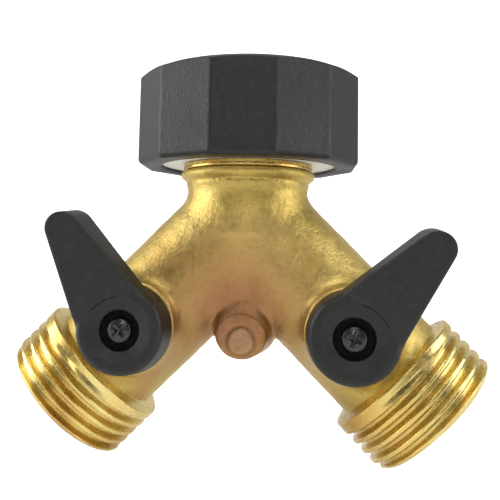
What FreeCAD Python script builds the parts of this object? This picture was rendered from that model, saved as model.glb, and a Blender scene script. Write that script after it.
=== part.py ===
"""Two-way brass hose splitter: a swivel inlet collar, a Y body and a quarter-turn ball valve in each leg.

The origin is the centre of the hose washer's upper face, where the mating hose end seals. +Z points up
out of the inlet, X runs across the two legs and the handles face -Y. All sizes are in millimetres.
"""
import FreeCAD, Part
import math
import os

from FreeCAD import Matrix, Vector

# ---- Thread of the hose connections: 3/4 in, 11.5 threads per inch ----
thread_pitch = 25.4 / 11.5
thread_depth = 1.35
outlet_crest_radius = 13.49
inlet_crest_radius = 12.35
crest_flat = 0.55
root_flat = 0.55

# ---- Fits ----
running_clearance = 0.05
free_clearance = 0.3
assembly_clearance = 0.03

# ---- Collar ----
collar_sides = 12
collar_corner_radius = 20.9
collar_height = 17.4
collar_turn = -12.6
collar_edge = 0.9
collar_bevel_width = 2.4
collar_bevel_height = 1.0
grip_wall = 3.6
grip_lip_height = 1.2
grip_lip_width = 1.8
core_recess = 0.6
core_rib_count = 6
core_rib_width = 2.6
core_rib_height = 0.9
inlet_thread_length = 7.4
inlet_lead_in = 0.9
washer_thickness = 2.5
washer_bore_margin = 0.2
washer_grip = 0.45
core_lip_height = 1.9

# ---- Neck ----
neck_tail_radius = 10.7
neck_wall = 2.9
neck_rim_step = 1.45
neck_rim_height = 1.2
neck_bead_step = 0.5
neck_bead_height = 1.3
neck_waist_drop = 2.2
neck_waist_step = 0.95
junction_below_collar = 10.2
clip_thickness = 1.0
clip_groove_depth = 0.95
clip_reach = 1.2
clip_gap_angle = 40.0

# ---- Legs and outlets ----
leg_angle = 45.0
leg_length = 48.3
leg_wall = 2.35
outlet_thread_length = 10.8
outlet_shoulder = 0.6
outlet_plain_turn = 0.4
outlet_end_chamfer = 1.0
outlet_mouth_chamfer = 0.5
passage_radius = 6.0
crotch_boss_radius = 6.35
crotch_boss_drop = 18.6
crotch_boss_face_radius = 4.6
crotch_boss_face_drop = 20.1
crotch_boss_half_width = 8.0
crotch_web_radius = 5.5
crotch_web_drop = 14.5
crotch_web_half_width = 6.6
crotch_pad_radius = 2.3
crotch_pad_drop = 21.4
crotch_pad_height = 0.25

# ---- Valve: ball, seats and retainer ----
stem_distance = 27.4
port_radius = 4.6
ball_wall = 2.7
seat_rim = 1.3
seat_bore_margin = 0.2
seat_back_wall = 1.6
retainer_length = 4.4
retainer_bore_radius = 5.0
retainer_slot_width = 2.2
retainer_slot_depth = 1.6
retainer_seal_section = 0.62

# ---- Stem ----
stem_radius = 3.5
stem_flange_width = 0.8
stem_flange_thickness = 1.2
thrust_washer_thickness = 0.7
stem_square = 5.2
stem_square_height = 3.6
stem_seal_section = 0.47
stem_seal_count = 2
stem_seal_pitch = 1.35
tongue_thickness = 2.2
tongue_depth = 1.9
tongue_width = 6.0
boss_margin = 0.3
boss_height = 1.6
stop_lug_height = 1.1
stop_lug_thickness = 1.7
stop_lug_angle = 26.0
stop_skirt_wall = 0.6
valve_travel = 90.0

# ---- Handle and its screw ----
hub_radius = 8.0
hub_height = 6.6
hub_web = 1.0
hub_draft = 0.6
hub_back_edge = 0.4
hub_front_edge = 0.7
recess_radius = 3.4
dish_radius = 5.6
dish_depth = 0.9
lever_reach = 19.2
lever_tip_radius = 3.6
lever_root_radius = 7.3
lever_draft = 1.0
lever_back_lift = 2.0
lever_front_rise = 0.6
lever_tip_rise = 4.8
screw_radius = 1.5
screw_length = 6.5
screw_head_radius = 2.15
screw_head_height = 1.6
screw_cross_width = 0.62
screw_cross_length = 2.7
screw_cross_depth = 0.9

# Where each lever rests, in degrees from +X towards +Z
left_lever_angle = 119.0
right_lever_angle = 49.5

# ---- Worked out from the sizes above ----
collar_top_z = grip_lip_height + inlet_thread_length
collar_bottom_z = collar_top_z - collar_height
junction_z = collar_bottom_z - junction_below_collar
neck_bore_radius = neck_tail_radius - neck_wall
neck_rim_radius = neck_tail_radius + neck_rim_step
neck_bead_radius = neck_rim_radius + neck_bead_step
neck_radius = neck_rim_radius - neck_waist_step
core_radius = collar_corner_radius * math.cos(math.pi / collar_sides) - grip_wall
core_top_z = inlet_thread_length
core_bottom_z = collar_bottom_z + core_recess
neck_top_z = -washer_thickness
lip_top_z = core_bottom_z + core_lip_height
clip_bottom_z = lip_top_z + free_clearance
rim_top_z = core_bottom_z - running_clearance * 2
rim_bottom_z = rim_top_z - neck_rim_height
ball_radius = port_radius + ball_wall
chamber_radius = ball_radius + seat_rim
leg_radius = chamber_radius + leg_wall
boss_top = leg_radius + boss_height
hub_bottom = boss_top + 2 * running_clearance
hub_top = hub_bottom + hub_height
stem_flange_radius = stem_radius + stem_flange_width
seat_back = ball_radius + seat_back_wall
chamber_start = stem_distance - seat_back - assembly_clearance
retainer_start = stem_distance + seat_back + assembly_clearance
boss_radius = hub_radius + boss_margin
stop_outer_radius = hub_radius - stop_skirt_wall - free_clearance
stop_inner_radius = stop_outer_radius - stop_lug_thickness
screw_seat = hub_bottom + stem_square_height + hub_web
thread_start = leg_length - outlet_thread_length

UP = Vector(0, 0, 1)
CENTRE = Vector(0, 0, 0)


# ---- Shape helpers ----
def cylinder(radius, low, high, centre=(0, 0)):
    """A cylinder along Z between two heights."""
    return Part.makeCylinder(radius, high - low, Vector(centre[0], centre[1], low))


def cone(low_radius, high_radius, low, high):
    """A cone along Z between two heights."""
    return Part.makeCone(low_radius, high_radius, high - low, Vector(0, 0, low))


def ring(outer, inner, low, high):
    """A flat ring along Z between two heights."""
    return cylinder(outer, low, high).cut(cylinder(inner, low - 1, high + 1))


def box(size_x, size_y, low, high, centre=(0, 0)):
    """A box centred in X and Y between two heights."""
    corner = Vector(centre[0] - size_x / 2, centre[1] - size_y / 2, low)
    return Part.makeBox(size_x, size_y, high - low, corner)


def revolve(points):
    """A solid turned about Z from (radius, height) points that start and end on the axis."""
    corners = [Vector(r, 0, z) for r, z in points]
    wire = Part.makePolygon(corners + corners[:1])
    return Part.Face(wire).revolve(CENTRE, UP, 360)


def sector(inner, outer, low, high, middle, spread):
    """Part of a ring, spread degrees wide about the middle angle."""
    profile = Part.makePolygon([
        Vector(inner, 0, low),
        Vector(outer, 0, low),
        Vector(outer, 0, high),
        Vector(inner, 0, high),
        Vector(inner, 0, low),
    ])
    solid = Part.Face(profile).revolve(CENTRE, UP, spread)
    solid.rotate(CENTRE, UP, middle - spread / 2)
    return solid


def thread_groove(crest_radius, low, high, outward):
    """The helical groove between two heights: a trapezoid swept along a right-hand helix.

    outward is 1 for a groove cut into the outside of a shaft and -1 for one cut into a hole's wall.
    """
    turns = (high - low) / thread_pitch
    helix = Part.makeHelix(thread_pitch, thread_pitch * turns, crest_radius)
    helix.translate(Vector(0, 0, low))
    crest_half = (thread_pitch - crest_flat) / 2
    root_half = root_flat / 2
    flank = (crest_half - root_half) / thread_depth
    over = 0.2
    near = crest_radius + outward * over
    far = crest_radius - outward * thread_depth
    wide = crest_half + flank * over
    corners = [
        Vector(near, 0, low - wide),
        Vector(near, 0, low + wide),
        Vector(far, 0, low + root_half),
        Vector(far, 0, low - root_half),
    ]
    sweep = Part.BRepOffsetAPI.MakePipeShell(Part.Wire(helix.Edges))
    sweep.setFrenetMode(True)
    sweep.add(Part.makePolygon(corners + corners[:1]))
    sweep.build()
    sweep.makeSolid()
    return sweep.shape()


def chamfer_ends(solid, radius, size):
    """Cut the outer edge at both flat ends of a solid of the given outer radius."""
    low = solid.BoundBox.ZMin
    high = solid.BoundBox.ZMax
    envelope = revolve([
        (0, low),
        (radius - size, low),
        (radius, low + size),
        (radius, high - size),
        (radius - size, high),
        (0, high),
    ])
    return solid.common(envelope)


def to_leg(shape, side):
    """Turn a shape made along +Z from the junction into the leg on one side (-1 left, 1 right)."""
    placed = shape.copy()
    placed.rotate(CENTRE, Vector(0, 1, 0), side * (90 + leg_angle))
    placed.translate(Vector(0, 0, junction_z))
    return placed


def stem_centre(side):
    """The point where a leg's axis crosses its stem's axis."""
    across = stem_distance * math.cos(math.radians(leg_angle))
    down = stem_distance * math.sin(math.radians(leg_angle))
    return Vector(side * across, 0, junction_z - down)


def to_valve(shape, side, lever_angle):
    """Place a valve piece: its local Z becomes the stem's axis, out of the front, and X the lever's."""
    c = math.cos(math.radians(lever_angle))
    s = math.sin(math.radians(lever_angle))
    centre = stem_centre(side)
    place = Matrix(
        c, -s, 0, centre.x,
        0, 0, -1, centre.y,
        s, c, 0, centre.z,
        0, 0, 0, 1,
    )
    placed = shape.copy()
    placed.transformShape(place)
    return placed


# ---- Body: one brass casting with machined ends ----
def neck_outside():
    """The neck turned about the inlet's axis: tail, machined rim, cast bead and waist."""
    bead_top = rim_bottom_z - 0.15
    bead_low = bead_top - neck_bead_height
    waist_z = bead_low - neck_waist_drop
    step = 0.35
    return revolve([
        (0, neck_top_z),
        (neck_tail_radius - step, neck_top_z),
        (neck_tail_radius, neck_top_z - step),
        (neck_tail_radius, rim_top_z),
        (neck_rim_radius, rim_top_z),
        (neck_rim_radius, rim_bottom_z),
        (neck_rim_radius - step, rim_bottom_z),
        (neck_rim_radius - step, bead_top),
        (neck_bead_radius - step, bead_top),
        (neck_bead_radius, bead_top - step),
        (neck_bead_radius, bead_low + step),
        (neck_bead_radius - step, bead_low),
        (neck_radius + 2 * step, (bead_low * 2 + waist_z) / 3),
        (neck_radius, waist_z),
        (neck_radius, junction_z),
        (0, junction_z),
    ])


def leg_outside(side):
    """A leg with its stem boss, its stop lug and the blank of its threaded outlet."""
    leg = cylinder(leg_radius, 0, thread_start)
    shoulder = cone(leg_radius, outlet_crest_radius, thread_start - outlet_shoulder, thread_start)
    blank = cylinder(outlet_crest_radius, thread_start, leg_length - outlet_end_chamfer)
    nose = cone(
        outlet_crest_radius,
        outlet_crest_radius - outlet_end_chamfer,
        leg_length - outlet_end_chamfer,
        leg_length,
    )
    return to_leg(leg.fuse([shoulder, blank, nose]), side)


def circle_along_y(radius, y, drop):
    """A round wire that faces along Y, centred below the junction."""
    circle = Part.makeCircle(radius, Vector(0, y, junction_z - drop), Vector(0, 1, 0))
    return Part.Wire(circle)


def crotch_boss():
    """The lug between the legs: two blunt cones back to back with a pad on each face, and a web above."""
    middle = circle_along_y(crotch_boss_radius, 0, crotch_boss_drop)
    solids = []
    for toward in (-1, 1):
        face_y = toward * crotch_boss_half_width
        face = circle_along_y(crotch_boss_face_radius, face_y, crotch_boss_face_drop)
        solids.append(Part.makeLoft([middle, face], True, True))
        solids.append(Part.makeCylinder(
            crotch_pad_radius,
            1 + crotch_pad_height,
            Vector(0, face_y - toward, junction_z - crotch_pad_drop),
            Vector(0, toward, 0),
        ))
    solids.append(Part.makeCylinder(
        crotch_web_radius,
        2 * crotch_web_half_width,
        Vector(0, -crotch_web_half_width, junction_z - crotch_web_drop),
        Vector(0, 1, 0),
    ))
    return solids[0].fuse(solids[1:])


def stem_boss(side):
    """The round boss that the stem comes out of, with its stop lug on top."""
    boss = cylinder(boss_radius, 0, boss_top)
    lug = sector(
        stop_inner_radius,
        stop_outer_radius,
        boss_top - 1,
        boss_top + stop_lug_height,
        270,
        stop_lug_angle,
    )
    return to_valve(boss.fuse(lug), side, 0)


def leg_hollow(side):
    """The leg's water passage, valve chamber and outlet bore."""
    passage = cylinder(passage_radius, 0, leg_length)
    chamber = cylinder(chamber_radius, chamber_start, leg_length + 1)
    mouth = cone(
        chamber_radius,
        chamber_radius + outlet_mouth_chamfer,
        leg_length - outlet_mouth_chamfer,
        leg_length,
    )
    return to_leg(passage.fuse([chamber, mouth]), side)


def stem_hollow(side):
    """The stem's bore through the boss and the wider pocket for its flange and washer."""
    bore = cylinder(stem_radius + running_clearance, ball_radius, boss_top + stop_lug_height + 1)
    pocket_top = flange_bottom() + stem_flange_thickness + washer_space()
    pocket = cylinder(stem_flange_radius + free_clearance, ball_radius - 1, pocket_top)
    return to_valve(bore.fuse(pocket), side, 0)


def body():
    """The Y body with its bores, its clip groove and both outlet threads."""
    solids = []
    for side in (-1, 1):
        solids.append(leg_outside(side))
        solids.append(stem_boss(side))
    solids.append(crotch_boss())
    outside = neck_outside().fuse(solids).removeSplitter()
    hollow = cylinder(neck_bore_radius, junction_z, neck_top_z + 1)
    hollow = hollow.fuse(Part.makeSphere(neck_bore_radius, Vector(0, 0, junction_z)))
    clip_groove = ring(
        neck_tail_radius + 1,
        neck_tail_radius - clip_groove_depth,
        clip_bottom_z,
        clip_bottom_z + clip_thickness + assembly_clearance,
    )
    cuts = [clip_groove]
    for side in (-1, 1):
        cuts.append(leg_hollow(side))
        cuts.append(stem_hollow(side))
        groove_start = thread_start + thread_pitch * outlet_plain_turn
        groove = thread_groove(outlet_crest_radius, groove_start, leg_length + 1, 1)
        cuts.append(to_leg(groove, side))
    solid = outside.cut(hollow)
    for cut in cuts:
        solid = solid.cut(cut)
    return solid


# ---- Collar: grip, threaded core, washer and clip ----
def core_ribs(radius, width, low, high):
    """Ribs on the core that key it into the grip."""
    ribs = []
    for index in range(core_rib_count):
        rib = box(2 * core_rib_height, width, low, high, (radius, 0))
        rib.rotate(CENTRE, UP, 360 / core_rib_count * index)
        ribs.append(rib)
    return ribs


def collar_grip():
    """The twelve-sided plastic grip with a lip over the core's top."""
    corners = []
    for index in range(collar_sides + 1):
        angle = math.radians(collar_turn + 360 / collar_sides * index)
        x = collar_corner_radius * math.cos(angle)
        y = collar_corner_radius * math.sin(angle)
        corners.append(Vector(x, y, collar_bottom_z))
    prism = Part.Face(Part.makePolygon(corners)).extrude(Vector(0, 0, collar_height))
    envelope = revolve([
        (0, collar_bottom_z),
        (collar_corner_radius - collar_edge, collar_bottom_z),
        (collar_corner_radius, collar_bottom_z + collar_edge),
        (collar_corner_radius, collar_top_z - collar_bevel_height),
        (collar_corner_radius - collar_bevel_width, collar_top_z),
        (0, collar_top_z),
    ])
    bore = cylinder(core_radius + assembly_clearance, collar_bottom_z - 1, core_top_z)
    mouth = cylinder(core_radius - grip_lip_width, core_top_z - 1, collar_top_z + 1)
    slots = core_ribs(
        core_radius,
        core_rib_width + 2 * assembly_clearance,
        collar_bottom_z - 1,
        core_top_z,
    )
    keyed = slots_inside_wall(slots)
    return prism.common(envelope).cut(bore.fuse([mouth] + keyed))


def slots_inside_wall(slots):
    """Keep the rib slots inside the grip's wall."""
    reach = core_radius + core_rib_height + assembly_clearance
    limit = cylinder(reach, collar_bottom_z - 1, core_top_z)
    return [slot.common(limit) for slot in slots]


def collar_core():
    """The white insert: female hose thread, washer pocket and the lip that the clip holds."""
    outside = cylinder(core_radius, core_bottom_z, core_top_z)
    ribs = core_ribs(core_radius, core_rib_width, core_bottom_z, core_top_z)
    limit = cylinder(core_radius + core_rib_height, core_bottom_z, core_top_z)
    outside = outside.fuse([rib.common(limit) for rib in ribs])
    thread_bore = cylinder(inlet_crest_radius, 0, core_top_z + 1)
    lead_in = cone(
        inlet_crest_radius,
        inlet_crest_radius + thread_depth,
        core_top_z - inlet_lead_in,
        core_top_z,
    )
    washer_pocket = cylinder(inlet_crest_radius + washer_grip + free_clearance, neck_top_z, 0)
    clip_pocket = cylinder(neck_tail_radius + clip_reach + free_clearance, lip_top_z, neck_top_z)
    lip_bore = cylinder(neck_tail_radius + free_clearance, core_bottom_z - 1, lip_top_z + 1)
    solid = outside.cut(thread_bore.fuse([lead_in, washer_pocket, clip_pocket, lip_bore]))
    groove = thread_groove(inlet_crest_radius, 0, core_top_z + 1, -1)
    return solid.cut(groove)


def hose_washer():
    """The rubber washer at the bottom of the female thread, held in by the thread."""
    outer = inlet_crest_radius + washer_grip
    edge = 0.4
    high = -assembly_clearance
    low = neck_top_z + assembly_clearance
    return chamfer_ends(ring(outer, neck_bore_radius - washer_bore_margin, low, high), outer, edge)


def retaining_ring():
    """The split ring in the neck's groove that the collar's lip hangs on."""
    inner = neck_tail_radius - clip_groove_depth + assembly_clearance
    outer = neck_tail_radius + clip_reach
    high = clip_bottom_z + clip_thickness
    gap = sector(inner - 1, outer + 1, clip_bottom_z - 1, high + 1, 200, clip_gap_angle)
    return ring(outer, inner, clip_bottom_z + assembly_clearance, high).cut(gap)


# ---- Valve: made once in its own frame and placed in each leg ----
def flange_bottom():
    """Height of the stem flange's inner face above the ball's centre."""
    return ball_radius + 0.35


def washer_space():
    """Height of the thrust washer with a running clearance on both faces."""
    return thrust_washer_thickness + 2 * running_clearance


def seat(direction):
    """A seat ring: its back stands on a shoulder and its face wraps the ball."""
    outer = chamber_radius - assembly_clearance
    blank = ring(outer, port_radius + seat_bore_margin, stem_flange_radius + 2 * free_clearance, seat_back)
    solid = blank.cut(Part.makeSphere(ball_radius + running_clearance, CENTRE))
    if direction < 0:
        solid.rotate(CENTRE, Vector(1, 0, 0), 180)
    solid.translate(Vector(0, 0, stem_distance))
    return solid


def seat_retainer():
    """The ring screwed in behind the outlet seat, with two spanner slots and a seal groove."""
    outer = chamber_radius - assembly_clearance
    end = retainer_start + retainer_length
    solid = chamfer_ends(ring(outer, retainer_bore_radius, retainer_start, end), outer, 0.3)
    slot = box(2 * outer + 2, retainer_slot_width, end - retainer_slot_depth, end + 1)
    groove = ring(
        outer + 1,
        outer - 2 * retainer_seal_section,
        retainer_seal_height() - retainer_seal_section - assembly_clearance,
        retainer_seal_height() + retainer_seal_section + assembly_clearance,
    )
    return solid.cut(slot.fuse(groove))


def retainer_seal_height():
    """Where the retainer's seal sits along the leg."""
    return retainer_start + 1.4


def retainer_seal():
    """The rubber ring in the retainer's groove."""
    centre_radius = chamber_radius - assembly_clearance - retainer_seal_section
    return Part.makeTorus(centre_radius, retainer_seal_section, Vector(0, 0, retainer_seal_height()))


def ball():
    """The ball, with its port along the lever and a slot across it for the stem's tongue."""
    solid = Part.makeSphere(ball_radius, CENTRE)
    port = Part.makeCylinder(
        port_radius,
        2 * ball_radius,
        Vector(-ball_radius, 0, 0),
        Vector(1, 0, 0),
    )
    slot = box(
        tongue_thickness + 2 * running_clearance,
        2 * ball_radius,
        ball_radius - tongue_depth,
        ball_radius + 1,
    )
    return solid.cut(port.fuse(slot))


def stem_seal_heights():
    """Where the stem's seals sit, evenly spaced down from the top of the boss."""
    first = boss_top - stem_seal_section - 0.25
    return [first - stem_seal_pitch * index for index in range(stem_seal_count)]


def stem():
    """The stem: tongue, inner flange, sealed shank and a square head tapped for the screw."""
    low = flange_bottom()
    head_top = hub_bottom + stem_square_height - assembly_clearance
    flange = cylinder(stem_flange_radius, low, low + stem_flange_thickness)
    shank = cylinder(stem_radius, low, hub_bottom)
    square = box(stem_square, stem_square, hub_bottom, head_top)
    square = square.common(cylinder(stem_radius, hub_bottom, head_top))
    tongue = box(tongue_thickness, tongue_width, ball_radius - tongue_depth + running_clearance, low)
    solid = flange.fuse([shank, square, tongue])
    tapped = cylinder(screw_radius, screw_seat - screw_length - 0.5, head_top + 1)
    grooves = []
    for height in stem_seal_heights():
        grooves.append(ring(
            stem_radius + 1,
            stem_radius - 2 * stem_seal_section,
            height - stem_seal_section - assembly_clearance,
            height + stem_seal_section + assembly_clearance,
        ))
    return solid.cut(tapped.fuse(grooves))


def stem_seals():
    """The two rubber rings in the stem's grooves, as separate solids."""
    centre_radius = stem_radius - stem_seal_section + running_clearance / 2
    rings = []
    for height in stem_seal_heights():
        rings.append(Part.makeTorus(centre_radius, stem_seal_section, Vector(0, 0, height)))
    return Part.makeCompound(rings)


def thrust_washer():
    """The low-friction washer between the stem's flange and the body."""
    low = flange_bottom() + stem_flange_thickness + running_clearance
    inner = stem_radius + running_clearance
    return ring(stem_flange_radius, inner, low, low + thrust_washer_thickness)


def tapered_outline(root_radius, tip_radius, height):
    """A closed wire: an arc round the hub, two tangents and an arc round the lever's tip."""
    slope = math.asin((root_radius - tip_radius) / lever_reach)
    c = math.sin(slope)
    s = math.cos(slope)
    root_top = Vector(root_radius * c, root_radius * s, height)
    root_low = Vector(root_radius * c, -root_radius * s, height)
    tip_top = Vector(lever_reach + tip_radius * c, tip_radius * s, height)
    tip_low = Vector(lever_reach + tip_radius * c, -tip_radius * s, height)
    edges = [
        Part.Arc(root_top, Vector(-root_radius, 0, height), root_low).toShape(),
        Part.LineSegment(root_low, tip_low).toShape(),
        Part.Arc(tip_low, Vector(lever_reach + tip_radius, 0, height), tip_top).toShape(),
        Part.LineSegment(tip_top, root_top).toShape(),
    ]
    return Part.Wire(edges)


def lever():
    """The tapered lever: drafted sides and a front face that rises towards the tip."""
    low = hub_bottom + lever_back_lift
    high = hub_top + lever_tip_rise + 1
    wide = tapered_outline(lever_root_radius, lever_tip_radius, low)
    narrow = tapered_outline(lever_root_radius - lever_draft, lever_tip_radius - lever_draft, high)
    solid = Part.makeLoft([wide, narrow], True, True)
    far = lever_reach + lever_tip_radius + 2
    near = -lever_root_radius - 2
    root_height = hub_top + lever_front_rise
    front = Part.makePolygon([
        Vector(near, 0, hub_top - 1.5),
        Vector(recess_radius, 0, hub_top - 1.5),
        Vector(dish_radius, 0, root_height),
        Vector(far, 0, hub_top + lever_tip_rise),
        Vector(far, 0, high + 2),
        Vector(near, 0, high + 2),
        Vector(near, 0, hub_top - 1.5),
    ])
    front.translate(Vector(0, -2 * lever_root_radius, 0))
    above = Part.Face(front).extrude(Vector(0, 4 * lever_root_radius, 0))
    return solid.cut(above)


def handle():
    """The lever handle: a hub over the stem's square, a stop slot below and a screw recess in front."""
    front_radius = hub_radius - hub_draft
    hub = revolve([
        (0, hub_bottom),
        (hub_radius - hub_back_edge, hub_bottom),
        (hub_radius, hub_bottom + hub_back_edge),
        (front_radius, hub_top - hub_front_edge),
        (front_radius - hub_front_edge, hub_top),
        (0, hub_top),
    ])
    solid = hub.fuse(lever()).removeSplitter()
    socket_side = stem_square + 2 * assembly_clearance
    socket = box(socket_side, socket_side, hub_bottom - 1, hub_bottom + stem_square_height)
    limit = cylinder(
        stem_radius + assembly_clearance,
        hub_bottom - 1,
        hub_bottom + stem_square_height,
    )
    stop_slot = sector(
        stop_inner_radius - free_clearance,
        stop_outer_radius + free_clearance,
        hub_bottom - 1,
        boss_top + stop_lug_height + free_clearance,
        180,
        valve_travel + stop_lug_angle + 1,
    )
    screw_hole = cylinder(screw_radius + running_clearance * 2, hub_bottom, screw_seat + 1)
    recess = cylinder(recess_radius, screw_seat, hub_top + lever_tip_rise)
    dish = cone(recess_radius, dish_radius, hub_top - dish_depth, hub_top + 0.001)
    return solid.cut(socket.common(limit).fuse([stop_slot, screw_hole, recess, dish]))


def handle_screw():
    """The pan-head screw with a cross recess that holds the handle on the stem."""
    head_top = screw_seat + screw_head_height
    head = cylinder(screw_head_radius, screw_seat, head_top)
    dome = Part.makeSphere(screw_head_radius * 1.5, Vector(0, 0, head_top - screw_head_radius * 1.5))
    head = head.common(dome)
    shank = cylinder(screw_radius - assembly_clearance, screw_seat - screw_length, screw_seat)
    arms = []
    for angle in (0, 90):
        arm = box(screw_cross_length, screw_cross_width, head_top - screw_cross_depth, head_top + 1)
        arm.rotate(CENTRE, UP, angle + 20)
        arms.append(arm)
    return head.fuse(shank).cut(arms[0].fuse(arms[1]))


# ---- Every piece under its own name ----
def pieces():
    """All the nodes of the splitter, each placed where it is in the assembly."""
    nodes = {
        "body": body(),
        "collar_grip": collar_grip(),
        "collar_core": collar_core(),
        "hose_washer": hose_washer(),
        "retaining_ring": retaining_ring(),
    }
    for name, side, angle in (("left", -1, left_lever_angle), ("right", 1, right_lever_angle)):
        nodes[name + "_seat_inlet"] = to_leg(seat(-1), side)
        nodes[name + "_seat_outlet"] = to_leg(seat(1), side)
        nodes[name + "_seat_retainer"] = to_leg(seat_retainer(), side)
        nodes[name + "_retainer_seal"] = to_leg(retainer_seal(), side)
        nodes[name + "_thrust_washer"] = to_valve(thrust_washer(), side, angle)
        nodes[name + "_ball"] = to_valve(ball(), side, angle)
        nodes[name + "_stem"] = to_valve(stem(), side, angle)
        nodes[name + "_stem_seals"] = to_valve(stem_seals(), side, angle)
        nodes[name + "_handle"] = to_valve(handle(), side, angle)
        nodes[name + "_handle_screw"] = to_valve(handle_screw(), side, angle)
    return nodes


os.makedirs("parts", exist_ok=True)
for node, shape in pieces().items():
    shape.exportStep("parts/" + node + ".step")
    print(node, len(shape.Solids), shape.isValid(), round(shape.Volume, 1))
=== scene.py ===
"""Looks of the two-way brass hose splitter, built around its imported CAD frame.

Every rounded casting or moulding is a skin on a distance field. The field is negative inside the piece.
Two shapes join softly where their fields differ by less than a blend width k: the smaller field, less a
share of k that fades from a quarter of k to nothing. Two limits cross in a rounded edge of radius r: beyond
r inside the edge the larger field counts, and nearer to it the distance from the edge's centre line. The
skin has one point in each grid cell that the surface crosses, and the points then slide down the field's
slope onto the surface. The outlet threads follow a right-hand helix: phase is length over pitch less angle
over a full turn, and the groove's depth is a trapezoid of that phase. Sizes inside the pieces are
millimetres; meshes are in metres.
"""

import bpy
import numpy as np
from mathutils import Matrix, Vector


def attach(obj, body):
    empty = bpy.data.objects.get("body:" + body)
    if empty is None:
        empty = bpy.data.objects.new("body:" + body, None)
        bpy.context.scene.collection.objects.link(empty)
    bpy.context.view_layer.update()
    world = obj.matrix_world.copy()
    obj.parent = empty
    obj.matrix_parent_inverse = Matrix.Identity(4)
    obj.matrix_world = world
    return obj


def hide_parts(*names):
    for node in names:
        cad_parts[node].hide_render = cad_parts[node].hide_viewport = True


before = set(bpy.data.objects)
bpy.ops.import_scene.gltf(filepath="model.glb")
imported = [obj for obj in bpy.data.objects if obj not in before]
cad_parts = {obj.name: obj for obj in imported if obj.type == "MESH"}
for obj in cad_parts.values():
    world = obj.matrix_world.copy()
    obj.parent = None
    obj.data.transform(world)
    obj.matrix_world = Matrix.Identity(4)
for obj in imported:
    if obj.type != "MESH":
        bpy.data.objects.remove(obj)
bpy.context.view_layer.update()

# ======== Body casting ========
# The neck, the two legs, the stem bosses and the crotch lug are one tumbled brass casting, with its water
# ways bored out. Every meeting of two shapes has a soft cast fillet, and the faces are a little uneven.
junction_z = -19.0
slope = np.sqrt(0.5)
stem_distance = 27.4
stem_offset = stem_distance * slope
leg_radius = 10.95
chamber_radius = 8.6
chamber_start = 18.47
leg_end = 38.3
neck_bore = 7.8
seat_bore = 6.0
boss_radius = 8.3
boss_top = 12.55
stop_ring = 6.25
stem_bore = 3.55
crotch_lug_place = 18.6
crotch_pad_place = 21.4
neck_heights = (0, 5.2, 6.2, 6.9, 7.25, 7.6, 8.1, 8.5, 9.4)
neck_radii = (11.15, 11.15, 11.4, 11.68, 11.42, 11.9, 12.45, 12.6, 12.6)


def smooth_min(a, b, width):
    """The union of two fields with a soft blend."""
    share = np.clip(0.5 + 0.5 * (b - a) / width, 0, 1)
    return b * (1 - share) + a * share - width * share * (1 - share)


def rounded(a, b, radius):
    """What is inside both fields, with a rounded edge."""
    corner = np.hypot(np.maximum(a + radius, 0), np.maximum(b + radius, 0))
    return np.minimum(np.maximum(a, b), -radius) + corner


def surface_net(field, low, high, step):
    """Points and four-cornered faces on the zero level of a field."""
    axes = [np.arange(a, b + step, step) for a, b in zip(low, high)]
    values = field(*np.meshgrid(*axes, indexing="ij"))
    inside = values < 0
    cells_shape = tuple(n - 1 for n in inside.shape)
    filled = np.zeros(cells_shape, np.int8)
    for i in (0, 1):
        for j in (0, 1):
            for k in (0, 1):
                filled += inside[i:i + cells_shape[0], j:j + cells_shape[1], k:k + cells_shape[2]]
    cells = np.argwhere((filled > 0) & (filled < 8))
    number = np.full(cells_shape, -1, np.int64)
    number[tuple(cells.T)] = np.arange(len(cells))
    total = np.zeros((len(cells), 3))
    hits = np.zeros(len(cells))
    for axis in range(3):
        u, v = (axis + 1) % 3, (axis + 2) % 3
        for a in (0, 1):
            for b in (0, 1):
                start = cells.copy()
                start[:, u] += a
                start[:, v] += b
                end = start.copy()
                end[:, axis] += 1
                near = values[tuple(start.T)]
                far = values[tuple(end.T)]
                crossed = (near < 0) != (far < 0)
                where = start.astype(float)
                where[:, axis] += near / np.where(crossed, near - far, 1)
                total[crossed] += where[crossed]
                hits[crossed] += 1
    points = total / hits[:, None] * step + np.array(low)
    faces = []
    for axis in range(3):
        u, v = (axis + 1) % 3, (axis + 2) % 3
        first = np.take(inside, range(inside.shape[axis] - 1), axis)
        second = np.take(inside, range(1, inside.shape[axis]), axis)
        edges = np.argwhere(first != second)
        held = (edges[:, u] > 0) & (edges[:, v] > 0)
        held &= (edges[:, u] < cells_shape[u]) & (edges[:, v] < cells_shape[v])
        edges = edges[held]
        corners = []
        for du, dv in ((-1, -1), (0, -1), (0, 0), (-1, 0)):
            cell = edges.copy()
            cell[:, u] += du
            cell[:, v] += dv
            corners.append(number[tuple(cell.T)])
        quads = np.stack(corners, 1)
        outward = first[tuple(edges.T)]
        quads[~outward] = quads[~outward][:, ::-1]
        faces.append(quads)
    faces = np.concatenate(faces)
    probe = 0.02
    for _ in range(4):
        gradient = np.empty_like(points)
        for axis in range(3):
            shift = np.zeros(3)
            shift[axis] = probe
            ahead = field(*(points + shift).T)
            behind = field(*(points - shift).T)
            gradient[:, axis] = (ahead - behind) / (2 * probe)
        size = np.maximum((gradient ** 2).sum(1), 0.25)
        reach = np.clip(field(*points.T) / size, -step / 2, step / 2)
        points -= gradient * reach[:, None]
    return points, faces


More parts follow.
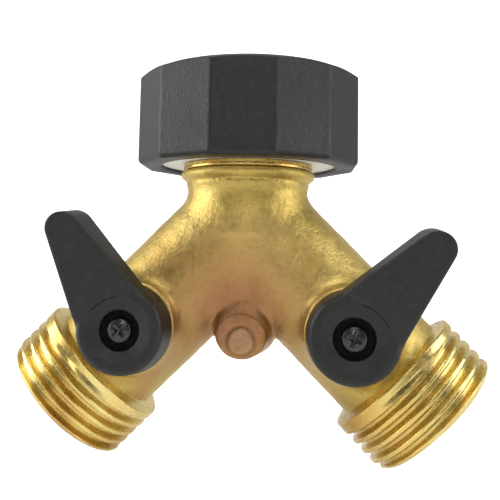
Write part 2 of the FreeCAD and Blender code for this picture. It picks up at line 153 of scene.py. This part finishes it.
def add_piece(name, points, faces, body, replaced, material):
    """A finished piece from millimetre points: smooth, riding on its body, standing for its CAD node."""
    mesh = bpy.data.meshes.new(name)
    mesh.vertices.add(len(points))
    mesh.vertices.foreach_set("co", (np.asarray(points) * 0.001).astype(np.float32).ravel())
    mesh.loops.add(faces.size)
    mesh.loops.foreach_set("vertex_index", faces.astype(np.int32).ravel())
    mesh.polygons.add(len(faces))
    mesh.polygons.foreach_set("loop_start", np.arange(0, faces.size, 4, dtype=np.int32))
    mesh.update(calc_edges=True)
    mesh.validate()
    mesh.polygons.foreach_set("use_smooth", np.ones(len(mesh.polygons), bool))
    mesh.materials.append(material)
    piece = bpy.data.objects.new(name, mesh)
    bpy.context.scene.collection.objects.link(piece)
    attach(piece, body)
    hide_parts(replaced)
    return piece


def body_field(x, y, z):
    """The casting's field, with heights taken from the point where the legs' axes meet.

    The neck is a round bar of changing radius, each leg a cylinder along its slope, each boss a cylinder
    towards the front with a stop lug on its face, and the crotch a drafted round lug on a web, with a flat
    pad in a ring-shaped ditch. Two slow sine waves make the faces uneven. Water ways and stem bores are
    cut out last.
    """
    z = z - junction_z
    out = np.hypot(x, y)
    wall = np.interp(z, neck_heights, neck_radii)
    neck = np.maximum(rounded(out - wall, z - 9.35, 0.35), -z - 2)
    legs = []
    holes = np.minimum(np.maximum(out - neck_bore, -z), np.sqrt(out ** 2 + z ** 2) - neck_bore)
    ends = []
    for side in (-1, 1):
        along = (side * x - z) * slope
        off = np.hypot((side * x + z) * slope, y)
        legs.append(rounded(off - leg_radius, -along, 1.0))
        holes = np.minimum(holes, np.maximum(off - seat_bore, -along))
        holes = np.minimum(holes, np.maximum(off - chamber_radius, chamber_start - along))
        ends.append(along - leg_end)
    shape = smooth_min(legs[0], legs[1], 2.4)
    shape = smooth_min(shape, neck, 1.6)
    for side in (-1, 1):
        beside = np.hypot(x - side * stem_offset, z + stem_offset)
        boss = np.maximum(rounded(beside - boss_radius, -y - boss_top, 0.5), y)
        shape = smooth_min(shape, boss, 2.6)
        stop = np.maximum(np.abs(beside - stop_ring) - 0.83, np.abs(x - side * stem_offset) - 0.205 * beside)
        stop = np.maximum(np.maximum(stop, -y - boss_top - 1.1), np.maximum(y + 12, z + stem_offset))
        shape = np.minimum(shape, stop)
        holes = np.minimum(holes, np.maximum(beside - stem_bore, y))
        holes = np.minimum(holes, np.maximum(np.maximum(beside - 4.6, -y - 9.65), y))
    share = np.minimum(np.abs(y) / 8.0, 1.2)
    lug = np.hypot(x, z + crotch_lug_place + 1.5 * share) - (6.35 - 1.75 * share)
    lug = rounded(lug, np.abs(y) - 8.0, 0.7)
    shape = smooth_min(shape, lug, 0.7)
    web = rounded(np.hypot(x, z + 14.4) - 5.7, np.abs(y) - 7.1, 2.2)
    shape = smooth_min(shape, web, 3.0)
    pad = np.hypot(x, z + crotch_pad_place)
    ditch = np.maximum(np.abs(pad - 2.5) - 0.22, 7.85 - np.abs(y))
    shape = np.maximum(shape, -ditch)
    shape = np.minimum(shape, rounded(pad - 2.25, np.abs(y) - 8.2, 0.25))
    shape = shape + 0.05 + 0.05 * np.sin(0.45 * x + 0.7) * np.sin(0.38 * z + 0.3 * y + 1.1)
    shape = shape + 0.035 * np.sin(1.1 * x + 0.9 * y) * np.sin(1.3 * z - 0.8 * y)
    shape = np.maximum(shape, -holes)
    return np.maximum(shape, np.maximum(ends[0], ends[1]))


def new_material(name):
    """A material with its shader and node tree at hand."""
    material = bpy.data.materials.new(name)
    material.use_nodes = True
    return material, material.node_tree, material.node_tree.nodes["Principled BSDF"]


def add_node(tree, kind, settings=None, sockets=None):
    """A node with its settings, and its sockets set to constants or linked from other sockets."""
    made = tree.nodes.new(kind)
    for key, value in (settings or {}).items():
        setattr(made, key, value)
    for key, value in (sockets or {}).items():
        if isinstance(value, bpy.types.NodeSocket):
            tree.links.new(value, made.inputs[key])
        else:
            made.inputs[key].default_value = value
    return made


def ramp(tree, source, stops):
    """A colour ramp node over (position, colour) stops."""
    made = add_node(tree, "ShaderNodeValToRGB", None, {0: source})
    band = made.color_ramp
    for place, colour in stops[1:-1]:
        band.elements.new(place).color = colour
    band.elements[0].position, band.elements[0].color = stops[0]
    band.elements[len(stops) - 1].position, band.elements[len(stops) - 1].color = stops[-1]
    return made.outputs["Color"]


grain = bpy.data.node_groups.new("surface_grain", "ShaderNodeTree")
for label in ("Fine", "Coarse", "Patch"):
    grain.interface.new_socket(label, in_out="OUTPUT", socket_type="NodeSocketFloat")
place = add_node(grain, "ShaderNodeTexCoord").outputs["Object"]
grain_out = add_node(grain, "NodeGroupOutput")
for label, size in (("Fine", 2900), ("Coarse", 980), ("Patch", 75)):
    noise = add_node(grain, "ShaderNodeTexNoise", None, {"Vector": place, "Scale": size, "Detail": 2})
    grain.links.new(noise.outputs[0], grain_out.inputs[label])

cast_brass, tree, shader = new_material("cast_brass")
spots = add_node(tree, "ShaderNodeGroup", {"node_tree": grain})
gold = ramp(tree, spots.outputs["Patch"], [
    (0.30, (0.43, 0.31, 0.08, 1)),
    (0.46, (0.52, 0.385, 0.105, 1)),
    (0.60, (0.56, 0.425, 0.13, 1)),
    (0.74, (0.50, 0.30, 0.105, 1)),
])
place = add_node(tree, "ShaderNodeTexCoord").outputs["Object"]
# The casting is painted darker and redder round the crotch: painted shade in the valley between the legs.
crotch_shade_distance = add_node(tree, "ShaderNodeVectorMath", {"operation": "DISTANCE"}, {
    0: place, 1: (-0.001, -0.009, -0.036)})
crotch_shade_amount = add_node(tree, "ShaderNodeMapRange", None, {
    "Value": crotch_shade_distance.outputs["Value"], "From Min": 0.004, "From Max": 0.021, "To Min": 0.88, "To Max": 0.0})
crotch_shade_colour = (0.335, 0.145, 0.072, 1)
# Round the crotch pad the colour has two dark rings: painted shade in the ditch round the pad, and a painted
# shadow line round the top of the boss face.
pad_flat = add_node(tree, "ShaderNodeVectorMath", {"operation": "MULTIPLY"}, {0: place, 1: (1, 0, 1)})
pad_out = add_node(tree, "ShaderNodeVectorMath", {"operation": "DISTANCE"}, {
    0: pad_flat.outputs[0], 1: (0, 0, -0.0404)})
crotch_shade_rings = ramp(tree, add_node(tree, "ShaderNodeMath", {"operation": "MULTIPLY"}, {
    0: pad_out.outputs["Value"], 1: 100}).outputs[0], [
    (0.0, (0.42, 0.22, 0.135, 1)), (0.2, (0.42, 0.22, 0.135, 1)), (0.245, (0.17, 0.07, 0.04, 1)),
    (0.3, (0.33, 0.135, 0.075, 1)), (0.45, crotch_shade_colour), (0.475, (0.17, 0.065, 0.032, 1)), (0.52, crotch_shade_colour)])
gold_and_crotch_shade = add_node(tree, "ShaderNodeMix", {"data_type": "RGBA"}, {
    0: crotch_shade_amount.outputs[0], 6: gold, 7: crotch_shade_rings})
speckle = ramp(tree, spots.outputs["Coarse"], [
    (0.34, (0.88, 0.83, 0.76, 1)), (0.52, (1, 1, 1, 1)), (0.72, (1.0, 0.99, 0.92, 1))])
speckled = add_node(tree, "ShaderNodeMix", {"data_type": "RGBA", "blend_type": "MULTIPLY"}, {
    0: 0.85, 6: gold_and_crotch_shade.outputs[2], 7: speckle})
tree.links.new(speckled.outputs[2], shader.inputs["Base Color"])
shader.inputs["Metallic"].default_value = 0.82
rough = add_node(tree, "ShaderNodeMapRange", None, {
    "Value": spots.outputs["Coarse"], "From Min": 0.3, "From Max": 0.7, "To Min": 0.36, "To Max": 0.5})
tree.links.new(rough.outputs[0], shader.inputs["Roughness"])
height = add_node(tree, "ShaderNodeMath", {"operation": "MULTIPLY_ADD"}, {
    0: spots.outputs["Coarse"], 1: 1.3, 2: spots.outputs["Fine"]})
bump = add_node(tree, "ShaderNodeBump", None, {
    "Strength": 0.6, "Distance": 0.00014, "Height": height.outputs[0]})
tree.links.new(bump.outputs[0], shader.inputs["Normal"])

body_low = (-36, -14.5, junction_z - 36)
body_high = (36, 12.5, junction_z + 10)
points, faces = surface_net(body_field, body_low, body_high, 0.4)
add_piece("body_casting", points, faces, "splitter_body", "body", cast_brass)

# ======== Machined neck ========
# The top of the neck is turned bright: a tail with the retaining ring's groove and a rim under the collar.
# The profile is a closed loop of radius and height, turned about the inlet's axis.


def turned(profile, count):
    """Points and faces of a closed profile of (radius, height) turned about the vertical axis."""
    loop = np.array(profile, float)
    angle = np.arange(count) * 2 * np.pi / count
    x = loop[None, :, 0] * np.cos(angle)[:, None]
    y = loop[None, :, 0] * np.sin(angle)[:, None]
    z = np.broadcast_to(loop[None, :, 1], x.shape)
    return np.stack([x, y, z], -1).reshape(-1, 3), wrap_faces(count, len(loop))


def wrap_faces(rows, columns):
    """Faces of a grid of points that closes on itself both ways."""
    i, j = np.meshgrid(np.arange(rows), np.arange(columns), indexing="ij")
    ahead, across = (i + 1) % rows, (j + 1) % columns
    quads = [i * columns + j, ahead * columns + j, ahead * columns + across, i * columns + across]
    return np.stack(quads, -1).reshape(-1, 4)


def soften(profile, radius):
    """Round each corner of a closed profile with three points, or keep it where it is given no room."""
    loop = np.array(profile, float)
    made = []
    for before, corner, after in zip(np.roll(loop, 1, 0), loop, np.roll(loop, -1, 0)):
        back, ahead = before - corner, after - corner
        reach = min(radius, np.hypot(*back) * 0.45, np.hypot(*ahead) * 0.45)
        a = corner + back / np.hypot(*back) * reach
        b = corner + ahead / np.hypot(*ahead) * reach
        made += [a, a * 0.25 + corner * 0.5 + b * 0.25, b]
    return made


bright_brass, tree, shader = new_material("machined_brass")
spots = add_node(tree, "ShaderNodeGroup", {"node_tree": grain})
worn = ramp(tree, spots.outputs["Patch"], [
    (0.36, (0.50, 0.32, 0.085, 1)), (0.52, (0.68, 0.50, 0.15, 1)), (0.66, (0.76, 0.62, 0.24, 1))])
# The deeper parts of the thread grooves are painted darker: painted shade in the grooves.
groove = add_node(tree, "ShaderNodeAttribute", {"attribute_name": "groove"})
groove_shade_amount = add_node(tree, "ShaderNodeMath", {"operation": "MULTIPLY"}, {0: groove.outputs["Fac"], 1: 0.28})
groove_shaded = add_node(tree, "ShaderNodeMix", {"data_type": "RGBA"}, {
    0: groove_shade_amount.outputs[0], 6: worn, 7: (0.36, 0.215, 0.06, 1)})
tree.links.new(groove_shaded.outputs[2], shader.inputs["Base Color"])
shader.inputs["Metallic"].default_value = 0.9
rough = add_node(tree, "ShaderNodeMapRange", None, {
    "Value": spots.outputs["Coarse"], "From Min": 0.3, "From Max": 0.7, "To Min": 0.2, "To Max": 0.36})
tree.links.new(rough.outputs[0], shader.inputs["Roughness"])
bump = add_node(tree, "ShaderNodeBump", None, {
    "Strength": 0.22, "Distance": 0.00005, "Height": spots.outputs["Coarse"]})
tree.links.new(bump.outputs[0], shader.inputs["Normal"])

neck_profile = soften([
    (7.8, -2.5), (10.7, -2.5), (10.7, -5.0), (9.75, -5.0), (9.75, -6.03), (10.7, -6.03), (10.7, -8.3),
    (12.15, -8.3), (12.15, -9.5), (11.75, -9.5), (11.75, -10.4), (7.95, -10.4), (7.8, -9.7)], 0.25)
points, faces = turned(neck_profile, 192)
add_piece("neck_machined", points, faces[:, ::-1], "splitter_body", "body", bright_brass)

# ======== Outlet threads ========
# Each outlet is a turned sleeve with a right-hand hose thread, a plain band by the leg where the groove runs
# out, a chamfered nose and a bore that continues the valve chamber.
pitch = 25.4 / 11.5
crest = 13.49
depth = 1.35
root_half = 0.275
crest_half = (pitch - 0.55) / 2
outlet_end = 48.3
sleeve_start = 36.4


def outlet_sleeve(side):
    """Points, faces and groove depth of one outlet, placed on its leg.

    The grid runs along the leg and round it. The radius is the turned envelope or the threaded crest less
    the groove, whichever is smaller. In front, under the handle, the band next to the leg is cut back. The
    bore closes the loop.
    """
    count = 320
    angle = np.arange(count) * 2 * np.pi / count
    outer = np.concatenate([
        [sleeve_start, 36.6], np.linspace(36.75, 37.45, 8), np.arange(37.53, 48.25, 0.09),
        [48.27, outlet_end]])
    envelope = np.interp(outer, [sleeve_start, 36.8, 37.42, 37.6, 47.25, 47.45, outlet_end],
                         [10.6, 11.0, 13.36, 13.47, 13.47, 13.38, 12.50])
    length, turn = np.meshgrid(outer, angle)
    front = np.exp(-((turn - 4.55) / 0.62) ** 2) * np.clip((40.9 - length) / 2.2, 0, 1)
    envelope = envelope[None, :] - 1.15 * front * np.clip((length - 36.6) / 0.8, 0, 1)
    phase = (length - 38.38) / pitch - turn / (2 * np.pi)
    within = np.abs(phase - np.round(phase)) * pitch
    share = np.clip((crest_half - within) / (crest_half - root_half), 0, 1)
    share = share * share * (3 - 2 * share) * 0.45 + share * 0.55
    share = share * np.clip(phase / 0.3 + 1.5, 0, 1)
    radius = np.minimum(envelope, crest - 0.02 - depth * share)
    radius = radius - 0.012 + 0.012 * np.sin(7 * turn + 3 * length) * np.sin(3 * turn - 5 * length)
    inner = np.array([(12.2, outlet_end), (9.15, outlet_end), (9.05, 48.25), (8.65, 47.85),
                      (chamber_radius, 47.7), (chamber_radius, 43.0), (chamber_radius, 38.6),
                      (8.75, 38.2), (8.75, 37.5)])
    flat = np.minimum(inner[:, 0][None, :], radius[:, -1:] - 0.15)
    all_radius = np.concatenate([radius, flat], 1)
    all_length = np.concatenate([length, np.broadcast_to(inner[:, 1], flat.shape)], 1)
    all_turn = np.broadcast_to(angle[:, None], all_radius.shape)
    local_x = all_radius * np.cos(all_turn)
    local_y = all_radius * np.sin(all_turn)
    x = side * slope * all_length - slope * local_x
    z = junction_z - slope * all_length - side * slope * local_x
    grooves = np.concatenate([share, np.zeros(flat.shape)], 1)
    points = np.stack([x, local_y, z], -1).reshape(-1, 3)
    return points, wrap_faces(count, all_radius.shape[1]), grooves.ravel()


for name, side in (("left", -1), ("right", 1)):
    points, faces, grooves = outlet_sleeve(side)
    sleeve = add_piece(name + "_outlet_thread", points, faces, "splitter_body", "body",
                       bright_brass)
    # The groove depth also sets the painted shade in the thread grooves.
    layer = sleeve.data.attributes.new("groove", "FLOAT", "POINT")
    layer.data.foreach_set("value", grooves.astype(np.float32))

# ======== Valve insides ========
# Balls, seats, retainers, seals, washers and stems keep their CAD shapes: they are turned or moulded pieces
# with crisp edges. Each takes the finish of its real material.


def plain(name, colour, metallic, roughness, bump_strength):
    """A plain finish with a little grain."""
    material, tree, shader = new_material(name)
    shader.inputs["Base Color"].default_value = (*colour, 1)
    shader.inputs["Metallic"].default_value = metallic
    spots = add_node(tree, "ShaderNodeGroup", {"node_tree": grain})
    rough = add_node(tree, "ShaderNodeMapRange", None, {
        "Value": spots.outputs["Coarse"], "From Min": 0.3, "From Max": 0.7,
        "To Min": roughness * 0.85, "To Max": roughness * 1.15})
    tree.links.new(rough.outputs[0], shader.inputs["Roughness"])
    bump = add_node(tree, "ShaderNodeBump", None, {
        "Strength": bump_strength, "Distance": 0.00005, "Height": spots.outputs["Fine"]})
    tree.links.new(bump.outputs[0], shader.inputs["Normal"])
    return material


chrome = plain("ball_chrome", (0.78, 0.79, 0.80), 1.0, 0.08, 0.02)
seat_plastic = plain("seat_plastic", (0.84, 0.84, 0.82), 0.0, 0.4, 0.1)
rubber = plain("black_rubber", (0.018, 0.018, 0.018), 0.0, 0.6, 0.3)
turned_brass = plain("stem_brass", (0.72, 0.52, 0.17), 1.0, 0.26, 0.1)
finishes = {
    "ball": chrome,
    "seat_inlet": seat_plastic, "seat_outlet": seat_plastic, "thrust_washer": seat_plastic,
    "seat_retainer": turned_brass, "stem": turned_brass,
    "retainer_seal": rubber, "stem_seals": rubber}
for name in ("left_", "right_"):
    for part, finish in finishes.items():
        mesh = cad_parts[name + part].data
        mesh.materials.clear()
        mesh.materials.append(finish)

# ======== Lever handles ========
# Each handle is moulded in black grained plastic: a drafted hub with a dished front and a deep screw recess,
# and a tapered lever that rises towards its round tip. Its underside has the stem socket and the stop slot.
hub_bottom = 12.65
hub_top = 19.25
hub_radius = 8.0
hub_draft = 0.6
lever_low = 14.65
lever_root = 7.3
lever_tip = 3.6
lever_reach = 19.2
dish_radius = 5.6
recess_radius = 3.4
screw_seat = 17.25
levers = (("left", -1, 119.0), ("right", 1, 49.5))


def handle_field(u, v, h):
    """The handle's field: u runs along the lever, v across it and h out of the front.

    The lever's outline is two straight flanks that touch a root circle and a tip circle, both shrinking
    with height for the draft. The hub is a drafted drum. The dish, the screw recess, the stem's square
    socket and the stop slot are cut out of them.
    """
    out = np.hypot(u, v)
    drum = hub_radius - hub_draft * (h - hub_bottom) / (hub_top - hub_bottom)
    hub = rounded(out - drum, h - hub_top, 1.0)
    hub = rounded(hub, hub_bottom - h, 0.3)
    lift = np.clip((h - lever_low) / 10.4, -0.1, 1)
    root, tip = lever_root - lift, lever_tip - lift
    lean = (root - tip) / lever_reach
    upright = np.sqrt(1 - lean ** 2)
    sideways = np.abs(v)
    part = u * upright - sideways * lean
    flank = sideways * upright + u * lean - root
    at_tip = np.hypot(sideways, u - lever_reach) - tip
    lever = np.where(part < 0, out - root, np.where(part > upright * lever_reach, at_tip, flank))
    front = np.interp(u, [-9, 3.4, 5.6, 24.5], [17.75, 17.75, 19.85, 24.05])
    lever = rounded(lever, (h - front) * 0.975, 0.4)
    lever = rounded(lever, lever_low - h, 0.35)
    shape = smooth_min(hub, lever, 0.7)
    dish = np.maximum((18.35 + (out - recess_radius) * 0.409 - h) * 0.925, out - dish_radius)
    shape = rounded(shape, -dish, 0.14)
    recess = np.maximum(out - recess_radius, screw_seat - h)
    shape = rounded(shape, -recess, 0.16)
    socket = np.maximum(np.maximum(np.abs(u), np.abs(v)) - 2.63, np.maximum(out - 3.53, h - 16.25))
    turn = np.abs(np.arctan2(v, -u)) - np.radians(58.5)
    stop = np.maximum(np.maximum(np.abs(out - stop_ring) - 1.15, h - 13.95), turn * out)
    hole = np.minimum(np.minimum(socket, stop), out - 1.6)
    return np.maximum(shape, -hole)


def on_valve(points, side, lever_angle):
    """Turn a valve piece's own frame into the splitter's."""
    c, s = np.cos(np.radians(lever_angle)), np.sin(np.radians(lever_angle))
    u, v, h = points.T
    x = side * stem_offset + c * u - s * v
    z = junction_z - stem_offset + s * u + c * v
    return np.stack([x, -h, z], 1)


black_plastic, tree, shader = new_material("black_plastic")
spots = add_node(tree, "ShaderNodeGroup", {"node_tree": grain})
charcoal = ramp(tree, spots.outputs["Coarse"], [
    (0.3, (0.0035, 0.0035, 0.003, 1)), (0.55, (0.006, 0.006, 0.0054, 1)), (0.75, (0.012, 0.012, 0.0105, 1))])
tree.links.new(charcoal, shader.inputs["Base Color"])
rough = add_node(tree, "ShaderNodeMapRange", None, {
    "Value": spots.outputs["Patch"], "From Min": 0.3, "From Max": 0.7, "To Min": 0.44, "To Max": 0.56})
tree.links.new(rough.outputs[0], shader.inputs["Roughness"])
height = add_node(tree, "ShaderNodeMath", {"operation": "MULTIPLY_ADD"}, {
    0: spots.outputs["Coarse"], 1: 0.8, 2: spots.outputs["Fine"]})
bump = add_node(tree, "ShaderNodeBump", None, {
    "Strength": 0.6, "Distance": 0.0001, "Height": height.outputs[0]})
# Inside the screw recess the specular is turned down: painted shade in the recess.
deep = add_node(tree, "ShaderNodeAttribute", {"attribute_name": "deep"})
recess_shade_specular = add_node(tree, "ShaderNodeMapRange", None, {
    "Value": deep.outputs["Fac"], "To Min": 0.42, "To Max": 0.04})
tree.links.new(recess_shade_specular.outputs[0], shader.inputs["Specular IOR Level"])
tree.links.new(bump.outputs[0], shader.inputs["Normal"])

points, faces = surface_net(handle_field, (-8.6, -8.6, 12.2), (23.2, 8.6, 24.6), 0.25)
# How far each point lies down inside the screw recess, which sets the painted shade there.
in_recess = np.clip((3.6 - np.hypot(points[:, 0], points[:, 1])) / 0.25, 0, 1)
recess_shade_mask = in_recess * np.clip(18.6 - points[:, 2], 0, 1)
for name, side, angle in levers:
    moulding = add_piece(name + "_handle_moulding", on_valve(points, side, angle), faces, name + "_valve",
                         name + "_handle", black_plastic)
    layer = moulding.data.attributes.new("deep", "FLOAT", "POINT")
    layer.data.foreach_set("value", recess_shade_mask.astype(np.float32))

# ======== Handle screws ========
# A dark plated pan-head screw with a cross recess sits at the bottom of each handle's recess.
# The four arms get narrower and the cross deeper towards its centre.
screw_top = 18.85
dome_radius = 4.2
head_radius = 2.15
shank_radius = 1.47
cross_reach = 1.35


def screw_field(u, v, h):
    """The screw's field in the valve's own frame."""
    out = np.hypot(u, v)
    dome = np.sqrt(out ** 2 + (h - screw_top + dome_radius) ** 2) - dome_radius
    head = rounded(np.maximum(out - head_radius, screw_seat - h), dome, 0.35)
    shank = np.maximum(out - shank_radius, np.maximum(10.75 - h, h - 17.6))
    shape = np.minimum(head, shank)
    c, s = np.cos(np.radians(20)), np.sin(np.radians(20))
    a, b = np.abs(c * u + s * v), np.abs(c * v - s * u)
    narrow = 0.36 - 0.12 * np.clip(screw_top - h, 0, 1)
    bottom = screw_top - 1.05 + 0.45 * out
    arms = np.minimum(np.maximum(a - cross_reach, b - narrow), np.maximum(b - cross_reach, a - narrow))
    return np.maximum(shape, -np.maximum(arms, bottom - h))


screw_steel = plain("screw_steel", (0.055, 0.055, 0.057), 0.9, 0.28, 0.1)
points, faces = surface_net(screw_field, (-2.4, -2.4, 10.6), (2.4, 2.4, 19.1), 0.1)
for name, side, angle in levers:
    add_piece(name + "_screw_detail", on_valve(points, side, angle), faces, name + "_valve",
              name + "_handle_screw", screw_steel)

# ======== Collar core, washer and ring ========
# The white threaded insert, the rubber washer and the split wire ring keep their CAD shapes.
nylon = plain("white_nylon", (0.78, 0.78, 0.76), 0.0, 0.38, 0.12)
spring = plain("spring_steel", (0.50, 0.50, 0.50), 1.0, 0.3, 0.1)
for node_name, finish in (("collar_core", nylon), ("hose_washer", rubber), ("retaining_ring", spring)):
    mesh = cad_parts[node_name].data
    mesh.materials.clear()
    mesh.materials.append(finish)

# ======== Collar grip ========
# The swivel grip is a twelve-sided moulding. Its upper edge is turned down by a shallow cone and its lower
# edge is rounded. Each ring of the grid is the smaller of the twelve flats and the cone at that height.
collar_low = -8.8
collar_high = 8.6
collar_corner = 20.9
collar_turn = np.radians(-12.6)
grip_edge = 1.0
cone_reach = 2.4


def grip_points(count):
    """Rings of the grip, from the bore's lower edge round the outside to the bore again."""
    angle = np.arange(count) * 2 * np.pi / count
    flat = collar_corner * np.cos(np.pi / 12)
    nearest = (angle - collar_turn) % (np.pi / 6) - np.pi / 12
    polygon = flat / np.cos(nearest)
    blunt = collar_corner * 0.998
    corner = 1 / (1 + np.exp((polygon - blunt) * -16))
    polygon = polygon * (1 - corner) + blunt * corner
    rings = []
    for drop in np.linspace(0, np.pi / 2, 7):
        rings.append((polygon - grip_edge + grip_edge * np.sin(drop),
                      collar_low + grip_edge - grip_edge * np.cos(drop)))
    for height in np.linspace(collar_low + 1.8, collar_high - 1.9, 8):
        rings.append((polygon, height))
    for height in np.linspace(collar_high - 1.7, collar_high, 22):
        cone = collar_corner - cone_reach * (height - collar_high + 1.0)
        rings.append((smooth_min(polygon, np.full(count, cone), 0.25), height))
    for radius, height in ((16.6, collar_high), (15.1, collar_high), (14.75, 8.5), (14.6, 8.25),
                           (14.6, 7.45), (16.42, 7.4), (16.42, -8.5), (16.6, collar_low)):
        rings.append((np.full(count, radius), height))
    made = []
    for radius, height in rings:
        made.append(np.stack([radius * np.cos(angle), radius * np.sin(angle), np.full(count, height)], 1))
    return np.stack(made, 1)


rings = grip_points(720)
add_piece("collar_grip_moulding", rings.reshape(-1, 3), wrap_faces(rings.shape[0], rings.shape[1]),
          "swivel_collar", "collar_grip", black_plastic)

# ======== Floor, light and camera ========
# A pale floor that curves up into a backdrop, a white surround, soft boxes on both sides and above, and
# the camera in front of the handles, level with the splitter's middle and looking slightly up.
curve = np.linspace(0.1, np.pi / 2, 12)
curve_start, curve_radius, floor_level = 0.35, 0.3, -0.072
sweep_y = np.concatenate([
    np.linspace(-0.9, curve_start, 6), curve_start + curve_radius * np.sin(curve),
    [curve_start + curve_radius]])
sweep_z = np.concatenate([
    np.zeros(6), curve_radius - curve_radius * np.cos(curve), [1.2]]) + floor_level
sweep_x = np.array([-1.2, 1.2])
grid_x, grid_y = np.meshgrid(sweep_x, sweep_y)
grid_z = np.repeat(sweep_z[:, None], 2, 1)
sweep_points = np.stack([grid_x, grid_y, grid_z], -1).reshape(-1, 3)
sweep_faces = [(2 * i, 2 * i + 1, 2 * i + 3, 2 * i + 2) for i in range(len(sweep_y) - 1)]
floor_mesh = bpy.data.meshes.new("floor")
floor_mesh.from_pydata(sweep_points.tolist(), [], sweep_faces)
floor_mesh.polygons.foreach_set("use_smooth", np.ones(len(sweep_faces), bool))
floor_material, tree, shader = new_material("pale_floor")
shader.inputs["Base Color"].default_value = (0.93, 0.93, 0.93, 1)
shader.inputs["Roughness"].default_value = 0.9
shader.inputs["Specular IOR Level"].default_value = 0.0
shader.inputs["Emission Color"].default_value = (1, 1, 1, 1)
rays = add_node(tree, "ShaderNodeLightPath")
glow = add_node(tree, "ShaderNodeMapRange", None, {
    "Value": rays.outputs["Is Camera Ray"], "To Min": 0.12, "To Max": 0.72})
tree.links.new(glow.outputs[0], shader.inputs["Emission Strength"])
behind = add_node(tree, "ShaderNodeNewGeometry")
clear = add_node(tree, "ShaderNodeBsdfTransparent")
sided = add_node(tree, "ShaderNodeMixShader", None, {
    0: behind.outputs["Backfacing"], 1: shader.outputs[0], 2: clear.outputs[0]})
tree.links.new(sided.outputs[0], tree.nodes["Material Output"].inputs["Surface"])
floor_mesh.materials.append(floor_material)
floor = bpy.data.objects.new("floor", floor_mesh)
bpy.context.scene.collection.objects.link(floor)

world = bpy.data.worlds.new("studio")
world.use_nodes = True
surround = world.node_tree.nodes["Background"]
surround.inputs["Color"].default_value = (1, 1, 1, 1)
surround.inputs["Strength"].default_value = 0.22
lit = world.node_tree
seen = add_node(lit, "ShaderNodeBackground", None, {"Color": (1, 1, 1, 1), "Strength": 1.0})
rays = add_node(lit, "ShaderNodeLightPath")
either = add_node(lit, "ShaderNodeMixShader", None, {
    0: rays.outputs["Is Camera Ray"], 1: surround.outputs[0], 2: seen.outputs[0]})
lit.links.new(either.outputs[0], lit.nodes["World Output"].inputs["Surface"])
bpy.context.scene.world = world
bpy.context.scene.view_settings.view_transform = "Standard"


def soft_box(name, place, width, height, power):
    """A rectangular light that faces the splitter's middle."""
    data = bpy.data.lights.new(name, "AREA")
    data.shape = "RECTANGLE"
    data.size = width
    data.size_y = height
    data.energy = power
    lamp = bpy.data.objects.new(name, data)
    lamp.location = place
    aim = Vector((0, 0, -0.02)) - Vector(place)
    lamp.rotation_euler = aim.to_track_quat("-Z", "Y").to_euler()
    bpy.context.scene.collection.objects.link(lamp)


soft_box("left_box", (-0.42, -0.04, 0.08), 0.35, 0.45, 2.3)
soft_box("right_box", (0.42, -0.06, 0.06), 0.30, 0.45, 1.5)
soft_box("top_box", (0.04, -0.16, 0.45), 0.30, 0.30, 1.2)
soft_box("front_strip", (0.03, -0.50, 0.22), 0.10, 0.22, 0.45)

# The camera's place is measured from the junction, in a frame turned by these three angles.
camera_turn = Matrix.Rotation(np.radians(1.345), 3, "Y")
camera_turn = camera_turn @ Matrix.Rotation(np.radians(-5.465), 3, "X")
camera_turn = camera_turn @ Matrix.Rotation(np.radians(-8.741), 3, "Z")
unturn = camera_turn.transposed()
camera_place = Vector((0, 0, -0.019)) + unturn @ Vector((-0.00793, -0.14572, 0.00663))
camera_data = bpy.data.cameras.new("camera")
camera_data.sensor_width = 36
camera_data.lens = 55.46
camera_data.shift_x = 0.09
camera_data.shift_y = -0.125
camera_data.clip_start = 0.005
camera = bpy.data.objects.new("camera", camera_data)
axes = [unturn @ Vector(v) for v in ((1, 0, 0), (0, 0, 1), (0, -1, 0))]
placing = Matrix(axes).transposed().to_4x4()
placing.translation = camera_place
camera.matrix_world = placing
bpy.context.scene.collection.objects.link(camera)
bpy.context.scene.camera = camera
